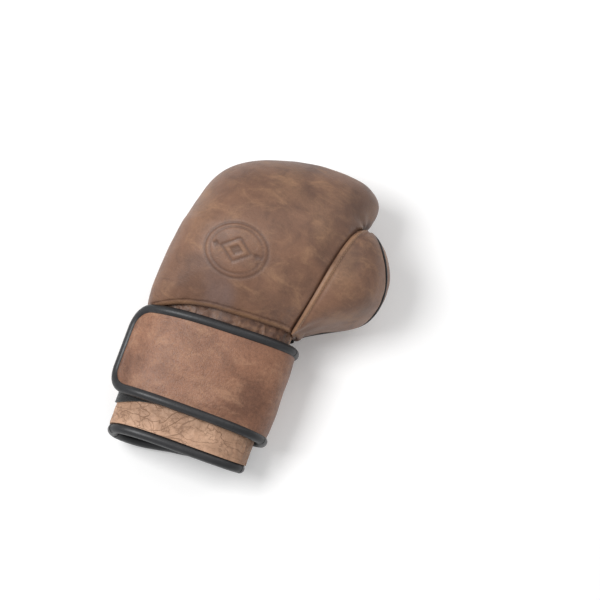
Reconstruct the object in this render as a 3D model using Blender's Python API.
"""Left-hand boxing glove with a wide wrist strap, lying palm down.

Frame: metres, +Z is the back of the hand, +Y points to the knuckles, +X is the thumb's side.
The glove rests on the underside of its finger curl and on the palm-side run of the strap.
Lengths below are in millimetres and are turned to metres where a mesh is made.
"""

import math

import bmesh
import bpy
from mathutils import Vector

MM = 0.001

# Driving sizes of the fist
FIST_LENGTH = 147.0          # from the wrist end of the padding to the knuckles
FIST_WIDTH = 162.0           # widest stretch across the knuckles
FIST_HEIGHT = 118.0          # from the underside of the curl to the top of the back
CURL_DROP = 19.0             # how far the finger curl hangs under the palm
SECTION_POWER = 2.5          # squareness of every cross-section
BACK_WALL = 38.0             # padding over the back of the hand
KNUCKLE_WALL = 40.0          # padding in front of the knuckles
SIDE_WALL = 19.0             # padding beside the hand
PALM_WALL = 8.0              # padding under the palm
CURL_WALL = 14.0             # padding under the curled fingers
GRIP_RADIUS = 5.5            # roll that the fingers close round
GRIP_SHARE = 0.55            # its length as a share of the hand cavity's width
SIDE_SEAM_RISE = 15.0        # the seam between palm and back leather lies this far over the palm's underside
CURL_STEP_RUN = 0.3868       # length of the step down to the curl for each millimetre of its drop
CURL_STEP_GAP = 2.0          # the palm leather ends this far beyond the last palm station
CAVITY_HEIGHT = 0.42         # the hand lies at this share of each cross-section's height
LEAST_CAVITY = 0.3           # a cavity keeps at least this share of the section round it
WRIST_PADDING = 0.45         # share of the back's padding reached at the wrist end
WRIST_UNDERSIDE = 0.66       # height of the palm's wrist end, in curl drops
LITTLE_STAND = 6.068         # what the wrist end stands past the cuff on the little finger's side
THUMB_STAND = 2.99           # and on the thumb's side
PADDING_GROWTH = 2.0         # how fast it grows to full along the fist

# Driving sizes of the thumb
THUMB_REACH = 49.0           # how far the thumb stands out from its seam
THUMB_DEPTH = 64.0           # palm side to back side at its seam
THUMB_FLOOR = 13.0           # height of its lowest point
THUMB_WALL = 12.0            # padding round the thumb
THUMB_HOLE_WIDTH = 32.0      # way from the hand cavity to the thumb, along the seam
THUMB_HOLE_HEIGHT = 22.0
THUMB_HOLE_RISE = 3.0        # the way lies this far over the seam between palm and back leather
THUMB_HOLE_ALONG = 0.36      # its place along the seam
THUMB_POWER = 2.2            # squareness of the thumb's cross-sections
THUMB_END_WALLS = 1.6        # padding at the two ends of the thumb, in thumb walls

# Driving sizes of the cuff
CUFF_LENGTH = 117.0
CUFF_WIDTH = 122.0
CUFF_HEIGHT = 60.0
CUFF_STEP = 4.35             # what the palm's wrist end stands over the line that the cuff climbs
CUFF_PAD = 5.0
BINDING_RADIUS = 4.2         # rolled edge of the cuff's mouth

# Driving sizes of the strap
STRAP_WIDTH = 88.0
STRAP_START = 23.0           # distance of the strap's lower edge from the cuff's mouth
STRAP_CORNER = 22.0          # radius of the free end's corners
STRAP_CORE = 1.9
EDGE_RADIUS = 3.4            # rolled binding of the flap
BASE_EDGE_RADIUS = 2.6       # flatter binding of the fixed run
PATCH = 1.7                  # thickness of the hook and of the loop patch
HOOK_MARGIN = 3.0            # the hook patch stays this far inside the strap's bindings
LOOP_MARGIN = 2.0            # the loop patch stays this far inside the strap's edges
HINGE_STAND = 1.2            # the strap's hinge lines lie this far outside its leather

# Sheets and clearances
LEATHER = 1.8
LINING = 1.0
WELT_RADIUS = 1.3
GAP = 0.3                    # between pieces that touch
MOVING_GAP = 0.8             # between pieces that move past each other

# Angles round the cuff, in degrees: 0 is the thumb's side, 90 the back, 180 the little finger's side
HINGE_ANGLE = 12.0
BREAK_ANGLE = 103.0
TIP_ANGLE = 172.0
BASE_END_ANGLE = -158.0
RISE_ANGLES = (-80.0, -12.0)  # where the fixed run climbs to the flap's level
GUSSET_ANGLES = (-24.0, 0.0)
PANEL_SEAM = 0.5             # half the seam between two panels of the cuff
HINGE_SEAM = 1.5             # the fixed run stops this far before the hinge line
BREAK_SEAM = 0.4             # half the crease between the strap's two moving parts
HOOK_START = 2.0             # the hook patch begins this far past the crease
LOOP_START = 25.0            # the loop patch begins this far before the crease
LOOP_END = 2.0               # and stops this far before the strap's free end

RING = 24                    # points round a cross-section
THUMB_SEAM = 0.003           # half the seam between the thumb's panels, as a share of its round
THUMB_PANEL_END = 0.985      # the panels stop here, just short of the outermost point

# The palm ends at this share of the fist's length, and the curl starts below the step after it
PALM_END = 0.42
CURL_START = PALM_END + CURL_STEP_RUN * CURL_DROP / FIST_LENGTH

# Stations of the fist: share of its length, then its left and right edge as shares of its width
# from the middle of the wrist, the top as a share of its height, and the underside: in curl drops
# over the palm, and as a share of the height from the curl station on
FIST_STATIONS = (
    (0.00, -(CUFF_WIDTH / 2 + LITTLE_STAND) / FIST_WIDTH, (CUFF_WIDTH / 2 + THUMB_STAND) / FIST_WIDTH, 0.66,
     WRIST_UNDERSIDE),
    (0.10, -0.426, 0.395, 0.79, 0.78),
    (0.22, -0.417, 0.423, 0.90, 0.90),
    (0.34, -0.403, 0.452, 0.97, 0.98),
    (PALM_END, -0.393, 0.471, 0.99, 1.00),
    (CURL_START, -0.386, 0.483, 1.00, 0.0403),
    (0.56, -0.371, 0.504, 1.00, -0.0193),
    (0.66, -0.350, 0.528, 0.97, -0.0225),
    (0.75, -0.324, 0.550, 0.90, -0.0161),
    (0.83, -0.268, 0.572, 0.81, 0.0129),
    (0.90, -0.175, 0.570, 0.70, 0.0886),
    (0.96, -0.010, 0.525, 0.58, 0.2093),
    (0.99, 0.150, 0.440, 0.49, 0.3140),
    (1.00, 0.280, 0.280, 0.40, 0.40),
)
CURL_STATION = 5             # first station whose underside belongs to the curl
SEAM_STATIONS = (0.06, 0.76)  # the thumb's seam runs between these shares of the fist's length

# Stations of the thumb: share of its reach, its two ends along the seam, its floor and its top as shares
THUMB_STATIONS = (
    (0.00, 0.000, 1.000, 0.00, 1.00),
    (0.14, 0.035, 0.985, 0.00, 0.98),
    (0.30, 0.110, 0.955, 0.02, 0.93),
    (0.50, 0.205, 0.910, 0.05, 0.86),
    (0.70, 0.300, 0.835, 0.11, 0.76),
    (0.86, 0.365, 0.745, 0.19, 0.66),
    (0.96, 0.430, 0.650, 0.28, 0.57),
    (1.00, 0.530, 0.530, 0.42, 0.42),
)

# What follows from the sizes above
STRAP_FLOOR = 2 * BASE_EDGE_RADIUS + GAP
CUFF_MIDDLE_Z = STRAP_FLOOR + CUFF_HEIGHT / 2
FIST_START = CUFF_LENGTH + GAP
# the cuff climbs to the palm by this much for each millimetre
CUFF_RISE = (WRIST_UNDERSIDE * CURL_DROP - CUFF_STEP) / CUFF_LENGTH
CUFF_WALL = 2 * GAP + LEATHER + CUFF_PAD + LINING
FLAP_LIFT = PATCH + 3 * GAP + PATCH + GAP
STRAP_THICKNESS = STRAP_CORE + GAP + LEATHER
PALM_SPLIT_Z = CURL_DROP + SIDE_SEAM_RISE
FOAM_GAP = CURL_DROP / 25     # the two foams part more widely where the step down to the curl is deeper
HINGE_OUT = FLAP_LIFT + STRAP_THICKNESS + HINGE_STAND


def clear_scene():
    for item in list(bpy.data.objects):
        bpy.data.objects.remove(item, do_unlink=True)


def material(name, colour, roughness):
    made = bpy.data.materials.get(name) or bpy.data.materials.new(name)
    made.use_nodes = True
    shader = made.node_tree.nodes["Principled BSDF"]
    shader.inputs["Base Color"].default_value = (*colour, 1.0)
    shader.inputs["Roughness"].default_value = roughness
    made.diffuse_color = (*colour, 1.0)
    return made


def add_object(name, data, colour, roughness):
    data.materials.append(material(name, colour, roughness))
    item = bpy.data.objects.new(name, data)
    bpy.context.scene.collection.objects.link(item)
    return item


BROWN = (0.24, 0.13, 0.085)
STRAP_BROWN = (0.30, 0.14, 0.09)
TAN = (0.43, 0.25, 0.15)
BLACK = (0.02, 0.022, 0.025)
FOAM = (0.75, 0.68, 0.45)
SOFT_FOAM = (0.55, 0.60, 0.68)
CLOTH = (0.10, 0.10, 0.11)


def power_section(angle, power=SECTION_POWER):
    """Point of a rounded rectangle of half-size one, at an angle in radians."""
    across = math.copysign(abs(math.cos(angle)) ** (2.0 / power), math.cos(angle))
    up = math.copysign(abs(math.sin(angle)) ** (2.0 / power), math.sin(angle))
    return across, up


def slab(name, place, across, along, ring=False, pole=False):
    """A flat sheet with thickness, bent to shape by place(u, v, w), where u, v and w run from 0 to 1.

    A ring closes on itself across, and a pole closes its far end to a point.
    """
    mesh = bmesh.new()
    bmesh.ops.create_grid(mesh, x_segments=across, y_segments=along, size=0.5)
    bmesh.ops.translate(mesh, verts=mesh.verts, vec=(0.5, 0.5, 0.0))
    pushed = bmesh.ops.extrude_face_region(mesh, geom=mesh.faces[:], use_keep_orig=True)
    moved = [part for part in pushed["geom"] if isinstance(part, bmesh.types.BMVert)]
    bmesh.ops.translate(mesh, verts=moved, vec=(0.0, 0.0, 1.0))
    near = 1e-4
    ends = []
    for face in mesh.faces:
        middle = face.calc_center_median()
        if ring and (middle.x < near or middle.x > 1 - near):
            ends.append(face)
        elif pole and middle.y > 1 - near:
            ends.append(face)
    bmesh.ops.delete(mesh, geom=ends, context="FACES_ONLY")
    for vert in mesh.verts:
        vert.co = Vector(place(*vert.co)) * MM
    if ring or pole:
        bmesh.ops.remove_doubles(mesh, verts=mesh.verts, dist=2e-6)
    face_outwards(mesh)
    data = bpy.data.meshes.new(name)
    mesh.to_mesh(data)
    mesh.free()
    data.shade_smooth()
    data.set_sharp_from_angle(angle=math.radians(40))
    return data


def face_outwards(mesh):
    bmesh.ops.recalc_face_normals(mesh, faces=mesh.faces)
    if mesh.calc_volume(signed=True) < 0:
        bmesh.ops.reverse_faces(mesh, faces=mesh.faces)


def cord(name, points, radius, closed=False):
    """A round cord along points, with filled ends."""
    data = bpy.data.curves.new(name, "CURVE")
    data.dimensions = "3D"
    data.bevel_depth = radius * MM
    data.bevel_resolution = 2
    data.use_fill_caps = not closed
    line = data.splines.new("POLY")
    line.points.add(len(points) - 1)
    for point, where in zip(line.points, points):
        point.co = (*(Vector(where) * MM), 1.0)
    line.use_cyclic_u = closed
    return data


def cutter_box(name, low, high):
    """A block between two corners, used only to cut."""
    mesh = bmesh.new()
    bmesh.ops.create_cube(mesh, size=1.0)
    size = Vector(high) - Vector(low)
    middle = (Vector(high) + Vector(low)) / 2
    bmesh.ops.scale(mesh, verts=mesh.verts, vec=size)
    bmesh.ops.translate(mesh, verts=mesh.verts, vec=middle)
    bmesh.ops.scale(mesh, verts=mesh.verts, vec=(MM, MM, MM))
    data = bpy.data.meshes.new(name)
    mesh.to_mesh(data)
    mesh.free()
    return add_cutter(name, data)


def add_cutter(name, data):
    item = bpy.data.objects.new(name, data)
    bpy.context.scene.collection.objects.link(item)
    item.hide_render = True
    item.display_type = "WIRE"
    return item


def cut(item, cutter, operation="DIFFERENCE"):
    step = item.modifiers.new(cutter.name, "BOOLEAN")
    step.operation = operation
    step.solver = "EXACT"
    step.object = cutter


def between(first, second, share):
    return tuple(a + (b - a) * share for a, b in zip(first, second))


def station(stations, share):
    """Values of a table of stations at a share of its rows."""
    place = share * (len(stations) - 1)
    row = min(int(place + 1e-6), len(stations) - 2)
    return between(stations[row], stations[row + 1], place - row)


def smooth(share):
    share = min(max(share, 0.0), 1.0)
    return share * share * (3 - 2 * share)


# The fist

def fist_ring(v, inner):
    """Place along the fist and the edges of the cross-section there: y, left, right, floor, top."""
    along, left, right, top, floor = station(FIST_STATIONS, v)
    y = FIST_START + along * FIST_LENGTH
    left *= FIST_WIDTH
    right *= FIST_WIDTH
    top *= FIST_HEIGHT
    on_palm = v * (len(FIST_STATIONS) - 1) < CURL_STATION - 0.5
    floor *= CURL_DROP if on_palm else FIST_HEIGHT
    if not inner:
        return y, left, right, floor, top
    step_y = FIST_START + FIST_STATIONS[CURL_STATION][0] * FIST_LENGTH
    front_y = FIST_START + FIST_LENGTH
    if y > step_y:
        y = step_y + (y - step_y) * (front_y - KNUCKLE_WALL - step_y) / (front_y - step_y)
    under = PALM_WALL if on_palm else CURL_WALL
    half = (right - left) / 2
    middle = (right + left) / 2
    half_in = max(half - SIDE_WALL, half * LEAST_CAVITY)
    height = top - max(floor, 0.0)
    centre = max(floor, 0.0) + height * CAVITY_HEIGHT
    wall = BACK_WALL * smooth(WRIST_PADDING + PADDING_GROWTH * along)
    top_in = max(top - wall, centre + (top - centre) * LEAST_CAVITY)
    floor_in = min(max(floor, 0.0) + under, centre - (centre - floor) * LEAST_CAVITY)
    return y, middle - half_in, middle + half_in, floor_in, top_in


def fist_point(u, v, inner):
    y, left, right, floor, top = fist_ring(v, inner)
    across, up = power_section(2 * math.pi * u)
    x = (left + right) / 2 + across * (right - left) / 2
    z = (floor + top) / 2 + up * (top - floor) / 2
    return Vector((x, y, max(z, 0.0)))


def fist_layer(u, v, skin, core, share):
    """Point between the outer surface and the cavity: skin and core are distances kept from them."""
    outside = fist_point(u, v, False)
    inside = fist_point(u, v, True)
    way = inside - outside
    depth = skin + (way.length - core - skin) * share
    point = outside + way.normalized() * depth
    point.z = max(point.z, depth if skin > 0 or share > 0 else 0.0)
    return point


def fist_shell(name, skin_low, core_low, share_low, skin_high, core_high, share_high):
    def place(u, v, w):
        if w < 0.5:
            return fist_layer(u, v, skin_low, core_low, share_low)
        return fist_layer(u, v, skin_high, core_high, share_high)
    return slab(name, place, RING, len(FIST_STATIONS) - 1, ring=True, pole=True)


def seam_ends():
    """The two ends of the line where the thumb meets the fist, seen from the back."""
    ends = []
    for share in SEAM_STATIONS:
        along = [row[0] for row in FIST_STATIONS]
        side = max(share, along[1])  # the first station follows the cuff, and the thumb doesn't
        row = max(i for i in range(len(along) - 1) if along[i] <= side)
        part = (side - along[row]) / (along[row + 1] - along[row])
        right = between(FIST_STATIONS[row], FIST_STATIONS[row + 1], part)[2] * FIST_WIDTH
        ends.append(Vector((right, FIST_START + share * FIST_LENGTH, 0.0)))
    return ends


def build_fist():
    reach = 2 * FIST_WIDTH
    palm_end = FIST_START + FIST_STATIONS[CURL_STATION - 1][0] * FIST_LENGTH + CURL_STEP_GAP
    far = FIST_START + 2 * FIST_LENGTH
    below = cutter_box("cut_below_seam", (-reach, -reach, -reach), (reach, far, PALM_SPLIT_Z))
    palm_room = cutter_box("cut_palm_room", (-reach, -reach, -reach), (reach, palm_end, PALM_SPLIT_Z))
    palm_part = cutter_box("keep_palm", (-reach, -reach, -reach), (reach, palm_end - GAP, PALM_SPLIT_Z - GAP))
    curl_part = cutter_box("keep_curl", (-reach, palm_end, -reach), (reach, far, PALM_SPLIT_Z - GAP))
    thumb_way = thumb_hole_cutter()

    skin = fist_shell("fist_back_leather", 0, 0, 0, LEATHER, 0, 0)
    back = add_object("fist_back_leather", skin, BROWN, 0.55)
    cut(back, below)
    cut(back, thumb_way)
    palm = add_object("palm_leather", skin.copy(), BROWN, 0.6)
    cut(palm, palm_part, "INTERSECT")
    curl = add_object("finger_curl_leather", skin.copy(), BROWN, 0.55)
    cut(curl, curl_part, "INTERSECT")

    under_skin = LEATHER + 2 * GAP
    over_core = LINING + GAP
    half = 0.5
    foam = fist_shell("knuckle_foam_outer", under_skin, over_core, 0, under_skin, over_core + GAP, half)
    outer = add_object("knuckle_foam_outer", foam, FOAM, 0.9)
    cut(outer, palm_room)
    cut(outer, thumb_way)
    inner_skin = under_skin - GAP + 2 * FOAM_GAP
    foam = fist_shell("knuckle_foam_inner", inner_skin, over_core, half, under_skin, over_core, 1)
    inner = add_object("knuckle_foam_inner", foam, SOFT_FOAM, 0.9)
    cut(inner, palm_room)
    cut(inner, thumb_way)
    foam = fist_shell("palm_foam", under_skin, over_core, 0, under_skin, over_core, 1)
    palm_pad = add_object("palm_foam", foam, SOFT_FOAM, 0.9)
    cut(palm_pad, palm_part, "INTERSECT")
    cloth = fist_shell("hand_lining", under_skin, LINING, 1, under_skin, 0, 1)
    lining = add_object("hand_lining", cloth, CLOTH, 0.95)
    cut(lining, thumb_way)
    build_grip()
    build_base_welt()


def build_base_welt():
    """The rolled welt along the fist's wrist end, from side seam to side seam over the back."""
    stand = (WELT_RADIUS + 2 * GAP) * math.sqrt(0.5)
    points = []
    for step in range(RING + 1):
        point = fist_layer(step / (2 * RING), 0.0, -stand, 0, 0)
        points.append(point - Vector((0.0, stand, 0.0)))
    add_object("base_seam_welt", cord("base_seam_welt", points, WELT_RADIUS), BROWN, 0.6)


def build_grip():
    """The roll across the palm, just behind the step where the fingers turn down."""
    share = (CURL_STATION - 1) / (len(FIST_STATIONS) - 1)
    y, left, right, floor, top = fist_ring(share, True)
    middle_x = (left + right) / 2
    reach = GRIP_SHARE * (right - left) / 2
    rise_under_ends = (top - floor) / 2 * (1 - (1 - GRIP_SHARE ** SECTION_POWER) ** (1 / SECTION_POWER))
    centre_z = floor + rise_under_ends + GRIP_RADIUS + 3 * GAP
    points = [(middle_x + side * reach, y - GRIP_RADIUS, centre_z) for side in (-1, 0, 1)]
    add_object("grip_bar", cord("grip_bar", points, GRIP_RADIUS), CLOTH, 0.9)


# The thumb

def thumb_frame():
    """Lower end of the seam, its direction and the way out from it, seen from the back."""
    low, high = seam_ends()
    along = (high - low).normalized()
    out = Vector((along.y, -along.x, 0.0))
    return low + out * MOVING_GAP, along, out, (high - low).length


def thumb_point(u, v, inner):
    share, low, high, floor, top = station(THUMB_STATIONS, v)
    start, along, out, length = thumb_frame()
    reach = share * THUMB_REACH
    low *= length
    high *= length
    floor *= THUMB_DEPTH
    top *= THUMB_DEPTH
    if inner:
        reach *= (THUMB_REACH - THUMB_WALL) / THUMB_REACH
        middle = (low + high) / 2
        half = (high - low) / 2
        half = max(half - THUMB_END_WALLS * THUMB_WALL, half * LEAST_CAVITY)
        low, high = middle - half, middle + half
        middle = (floor + top) / 2
        half = (top - floor) / 2
        half = max(half - THUMB_WALL, half * LEAST_CAVITY)
        floor, top = middle - half, middle + half
    side, up = power_section(2 * math.pi * u, THUMB_POWER)
    place = start + along * ((low + high) / 2 + side * (high - low) / 2) + out * reach
    place.z = THUMB_FLOOR + (floor + top) / 2 + up * (top - floor) / 2
    return place


def thumb_layer(u, v, skin, core, share):
    outside = thumb_point(u, v, False)
    inside = thumb_point(u, v, True)
    way = inside - outside
    return outside + way.normalized() * (skin + (way.length - core - skin) * share)


def thumb_hole_cutter():
    """An oval way through the fist's side wall into the thumb, longer than the wall on both sides."""
    start, along, out, length = thumb_frame()
    mesh = bmesh.new()
    bmesh.ops.create_cone(mesh, cap_ends=True, segments=16, radius1=1.0, radius2=1.0, depth=1.0)
    middle_z = hole_middle_z()
    for vert in mesh.verts:
        point = start + along * (hole_middle_along(length) + vert.co.x * THUMB_HOLE_WIDTH / 2)
        point = point + out * (vert.co.z * 3 * SIDE_WALL)
        point.z = middle_z + vert.co.y * THUMB_HOLE_HEIGHT / 2
        vert.co = point * MM
    face_outwards(mesh)
    data = bpy.data.meshes.new("cut_thumb_way")
    mesh.to_mesh(data)
    mesh.free()
    return add_cutter("cut_thumb_way", data)


def hole_middle_z():
    return PALM_SPLIT_Z + THUMB_HOLE_RISE + THUMB_HOLE_HEIGHT / 2


def hole_middle_along(length):
    return length * THUMB_HOLE_ALONG


def thumb_patch(name, first, skin_low, skin_high):
    """A panel over half of the thumb's round, short of its outermost point."""
    def place(u, v, w):
        around = min(max(first + u / 2, first + THUMB_SEAM), first + 0.5 - THUMB_SEAM)
        return thumb_layer(around, min(v, THUMB_PANEL_END), skin_low if w < 0.5 else skin_high, 0, 0)
    return slab(name, place, RING // 2, len(THUMB_STATIONS) - 1)


def build_thumb():
    pivot = bpy.data.objects.new("thumb_pivot", None)
    start, along, out, length = thumb_frame()
    pivot.location = Vector((start.x, start.y, THUMB_FLOOR)) * MM
    bpy.context.scene.collection.objects.link(pivot)
    pieces = []
    data = thumb_patch("thumb_back_leather", 0.0, 0, LEATHER)
    pieces.append(add_object("thumb_back_leather", data, BROWN, 0.55))
    data = thumb_patch("thumb_palm_leather", 0.5, 0, LEATHER)
    pieces.append(add_object("thumb_palm_leather", data, BROWN, 0.6))

    def foam_place(u, v, w):
        return thumb_layer(u, v, LEATHER + 2 * GAP, LINING + GAP, w)
    data = slab("thumb_foam", foam_place, RING, len(THUMB_STATIONS) - 1, ring=True, pole=True)
    pieces.append(add_object("thumb_foam", data, FOAM, 0.9))

    def lining_place(u, v, w):
        return thumb_layer(u, v, LEATHER + 2 * GAP, LINING * (1 - w), 1)
    data = slab("thumb_lining", lining_place, RING, len(THUMB_STATIONS) - 1, ring=True, pole=True)
    pieces.append(add_object("thumb_lining", data, CLOTH, 0.95))

    stand = -(WELT_RADIUS + GAP)
    steps = 2 * len(THUMB_STATIONS)
    points = []
    for side, order in ((0.5, range(1, steps)), (0.0, range(steps - 2, 0, -1))):
        for step in order:
            points.append(thumb_layer(side, step / (steps - 1), stand, 0, 0))
    data = cord("thumb_welt", points, WELT_RADIUS)
    pieces.append(add_object("thumb_welt", data, BLACK, 0.5))
    for piece in pieces:
        hang_on(piece, pivot)


def hang_on(piece, pivot):
    """Put a piece under a pivot and leave it where it is."""
    piece.parent = pivot
    piece.matrix_parent_inverse = pivot.matrix_basis.inverted()


# The cuff

def cuff_point(degrees, y, out):
    """Point of the cuff's cross-section at an angle and a distance outside its leather."""
    angle = math.radians(degrees)
    across, up = power_section(angle)
    x = (CUFF_WIDTH / 2 + out) * across
    z = CUFF_MIDDLE_Z + (CUFF_HEIGHT / 2 + out) * up
    return Vector((x, y, z + CUFF_RISE * (y - STRAP_START)))


def cuff_panel(name, first, last, out_high, out_low, across):
    """A sheet of the cuff from one angle to another and its full length."""
    def place(u, v, w):
        return cuff_point(first + (last - first) * u, v * CUFF_LENGTH, out_high if w < 0.5 else out_low)
    return slab(name, place, across, 4, ring=abs(last - first) > 359.0)


def build_cuff():
    pad_out = -LEATHER - GAP
    pad_in = pad_out - CUFF_PAD
    lining_out = pad_in - GAP
    low, high = GUSSET_ANGLES
    data = cuff_panel("cuff_back_leather", high + PANEL_SEAM, 180 - PANEL_SEAM, 0, -LEATHER, 16)
    add_object("cuff_back_leather", data, TAN, 0.6)
    data = cuff_panel("cuff_palm_leather", 180 + PANEL_SEAM, 360 + low - PANEL_SEAM, 0, -LEATHER, 14)
    add_object("cuff_palm_leather", data, BLACK, 0.6)
    data = cuff_panel("cuff_gusset", 360 + low + PANEL_SEAM, 360 + high - PANEL_SEAM, 0, -LEATHER, 4)
    add_object("cuff_gusset", data, BLACK, 0.8)
    data = cuff_panel("cuff_back_pad", high + PANEL_SEAM, 180 - PANEL_SEAM, pad_out, pad_in, 16)
    add_object("cuff_back_pad", data, FOAM, 0.9)
    data = cuff_panel("cuff_palm_pad", 180 + PANEL_SEAM, 360 + low - PANEL_SEAM, pad_out, pad_in, 14)
    add_object("cuff_palm_pad", data, FOAM, 0.9)
    data = cuff_panel("cuff_lining", 0, 360, lining_out, lining_out - LINING, RING)
    add_object("cuff_lining", data, CLOTH, 0.95)
    points = []
    for step in range(RING):
        points.append(cuff_point(360 * step / RING, -BINDING_RADIUS - GAP, -CUFF_WALL / 2))
    data = cord("cuff_rim_binding", points, BINDING_RADIUS, closed=True)
    add_object("cuff_rim_binding", data, BLACK, 0.45)


# The strap

def strap_lift(degrees):
    """Distance of the strap's inner face from the cuff's leather."""
    low, high = RISE_ANGLES
    return GAP + (FLAP_LIFT - GAP) * smooth((degrees - low) / (high - low))


def corner_inset(distance, radius):
    """How far a long edge has come in at a corner of this radius, at a distance from the free end."""
    if distance >= radius:
        return 0.0
    short = radius - max(distance, 0.0)
    return radius - math.sqrt(radius * radius - short * short)


def end_distance(degrees):
    """Distance along the cuff from an angle to the strap's free end, by short straight steps."""
    steps = 8
    total = 0.0
    last = cuff_point(degrees, 0, FLAP_LIFT)
    for step in range(1, steps + 1):
        point = cuff_point(degrees + (TIP_ANGLE - degrees) * step / steps, 0, FLAP_LIFT)
        total += (point - last).length
        last = point
    return total


def angle_before_end(distance):
    """The angle at which the strap's free end is this far away."""
    degrees = TIP_ANGLE
    while end_distance(degrees) < distance:
        degrees -= 0.25
    return degrees


def strap_sheet(name, first, last, inside, outside, margin, across=12):
    """A layer of the strap between two angles; margin is how far its edges stay inside the strap's."""
    low = STRAP_START + margin
    high = STRAP_START + STRAP_WIDTH - margin

    def place(u, v, w):
        degrees = first + (last - first) * u
        inset = 0.0
        if last > BREAK_ANGLE:
            inset = corner_inset(end_distance(degrees) - end_distance(last), STRAP_CORNER - margin)
        y = low + inset + (high - low - 2 * inset) * v
        lift = strap_lift(degrees) + (outside if w < 0.5 else inside)
        return cuff_point(degrees, y, lift)
    return slab(name, place, across, 4)


def strap_edge(name, first, last, upper, radius, out, steps=12):
    """A rolled binding along one long edge of the strap."""
    y = STRAP_START + (STRAP_WIDTH - radius if upper else radius)
    points = []
    for step in range(steps + 1):
        degrees = first + (last - first) * step / steps
        points.append(cuff_point(degrees, y, strap_lift(degrees) + out))
    return cord(name, points, radius)


def tip_edge(name, first, radius, out):
    """The binding round the free end, with its two rounded corners."""
    low = STRAP_START + radius
    high = STRAP_START + STRAP_WIDTH - radius
    steps = 14
    side = []
    for step in range(steps + 1):
        degrees = first + (TIP_ANGLE - first) * (1 - (1 - step / steps) ** 1.6)
        side.append((degrees, corner_inset(end_distance(degrees), STRAP_CORNER - radius)))
    points = [cuff_point(degrees, low + inset, strap_lift(degrees) + out) for degrees, inset in side]
    for degrees, inset in reversed(side):
        points.append(cuff_point(degrees, high - inset, strap_lift(degrees) + out))
    return cord(name, points, radius)


def build_strap_base():
    """The fixed run, from the palm side to the hinge line at the thumb's side."""
    last = HINGE_ANGLE - HINGE_SEAM
    margin = 2 * BASE_EDGE_RADIUS + GAP
    data = strap_sheet("strap_base_core", BASE_END_ANGLE, last, 0, STRAP_CORE, margin, 18)
    add_object("strap_base_core", data, FOAM, 0.9)
    data = strap_sheet("strap_base_leather", BASE_END_ANGLE, last, STRAP_CORE + GAP, STRAP_THICKNESS, margin, 18)
    add_object("strap_base_leather", data, STRAP_BROWN, 0.6)
    for name, upper in (("strap_base_binding_rim_side", False), ("strap_base_binding_fist_side", True)):
        data = strap_edge(name, BASE_END_ANGLE, last, upper, BASE_EDGE_RADIUS, BASE_EDGE_RADIUS, 20)
        add_object(name, data, BLACK, 0.45)


def pivot_at(name, degrees, parent=None):
    pivot = bpy.data.objects.new(name, None)
    middle = STRAP_START + STRAP_WIDTH / 2
    pivot.location = cuff_point(degrees, middle, HINGE_OUT) * MM
    pivot.rotation_euler = (math.atan(CUFF_RISE), 0.0, 0.0)
    bpy.context.scene.collection.objects.link(pivot)
    if parent:
        pivot.parent = parent
        pivot.matrix_parent_inverse = parent.matrix_basis.inverted()
    return pivot


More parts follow.
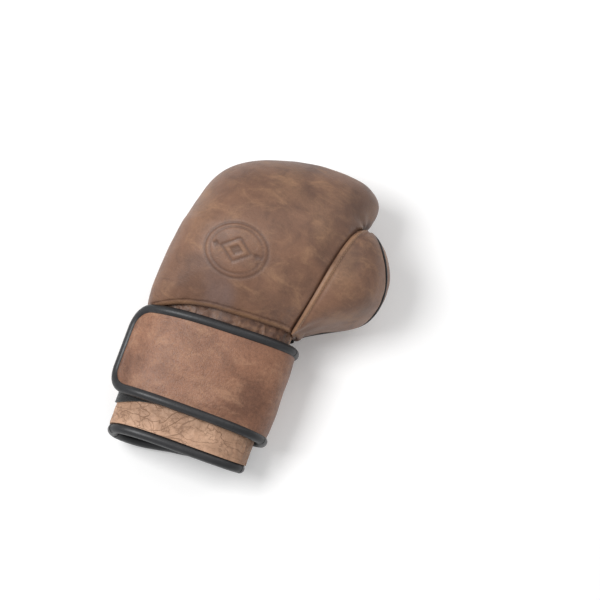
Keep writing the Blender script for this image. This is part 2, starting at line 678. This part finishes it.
def build_strap():
    build_strap_base()
    margin = 2 * EDGE_RADIUS + GAP
    middle_out = STRAP_THICKNESS / 2
    hinge = pivot_at("strap_hinge", HINGE_ANGLE)
    first, last = HINGE_ANGLE, BREAK_ANGLE - BREAK_SEAM
    pieces = []
    data = strap_sheet("flap_core", first, last, 0, STRAP_CORE, margin)
    pieces.append(add_object("flap_core", data, FOAM, 0.9))
    data = strap_sheet("flap_leather", first, last, STRAP_CORE + GAP, STRAP_THICKNESS, margin)
    pieces.append(add_object("flap_leather", data, STRAP_BROWN, 0.6))
    for name, upper in (("flap_binding_rim_side", False), ("flap_binding_fist_side", True)):
        data = strap_edge(name, first, last, upper, EDGE_RADIUS, middle_out)
        pieces.append(add_object(name, data, BLACK, 0.45))
    for piece in pieces:
        hang_on(piece, hinge)

    crease = pivot_at("strap_crease", BREAK_ANGLE)
    first, last = BREAK_ANGLE + BREAK_SEAM, TIP_ANGLE
    end = angle_before_end(EDGE_RADIUS + 2 * GAP)
    pieces = []
    data = strap_sheet("tip_core", first, end, 0, STRAP_CORE, margin)
    pieces.append(add_object("tip_core", data, FOAM, 0.9))
    data = strap_sheet("tip_leather", first, end, STRAP_CORE + GAP, STRAP_THICKNESS, margin)
    pieces.append(add_object("tip_leather", data, STRAP_BROWN, 0.6))
    data = tip_edge("tip_binding", first, EDGE_RADIUS, middle_out)
    pieces.append(add_object("tip_binding", data, BLACK, 0.45))
    hook_end = angle_before_end(2 * EDGE_RADIUS + HOOK_MARGIN)
    data = strap_sheet("tip_hook_patch", first + HOOK_START, hook_end, -PATCH - GAP, -GAP, margin + HOOK_MARGIN, 8)
    pieces.append(add_object("tip_hook_patch", data, BLACK, 0.9))
    for piece in pieces:
        hang_on(piece, crease)

    loop_first = BREAK_ANGLE - LOOP_START
    loop_last = TIP_ANGLE - LOOP_END

    def loop_place(u, v, w):
        degrees = loop_first + (loop_last - loop_first) * u
        y = STRAP_START + LOOP_MARGIN + (STRAP_WIDTH - 2 * LOOP_MARGIN) * v
        return cuff_point(degrees, y, GAP + (PATCH if w < 0.5 else 0.0))
    add_object("cuff_loop_patch", slab("cuff_loop_patch", loop_place, 12, 4), BLACK, 0.95)


def stand_on_origin():
    """Move everything so that the middle of its underside is the origin."""
    bpy.context.view_layer.update()
    shapes = bpy.context.evaluated_depsgraph_get()
    low = Vector((1e9, 1e9, 1e9))
    high = -low
    for item in bpy.data.objects:
        if item.type == "EMPTY" or item.hide_render:
            continue
        mesh = item.evaluated_get(shapes).to_mesh()
        for vert in mesh.vertices:
            place = item.matrix_world @ vert.co
            low = Vector(map(min, low, place))
            high = Vector(map(max, high, place))
        item.evaluated_get(shapes).to_mesh_clear()
    shift = Vector(((low.x + high.x) / 2, (low.y + high.y) / 2, low.z))
    for item in bpy.data.objects:
        if item.parent is None:
            item.location -= shift


def main():
    clear_scene()
    build_fist()
    build_thumb()
    build_cuff()
    build_strap()
    stand_on_origin()


main()
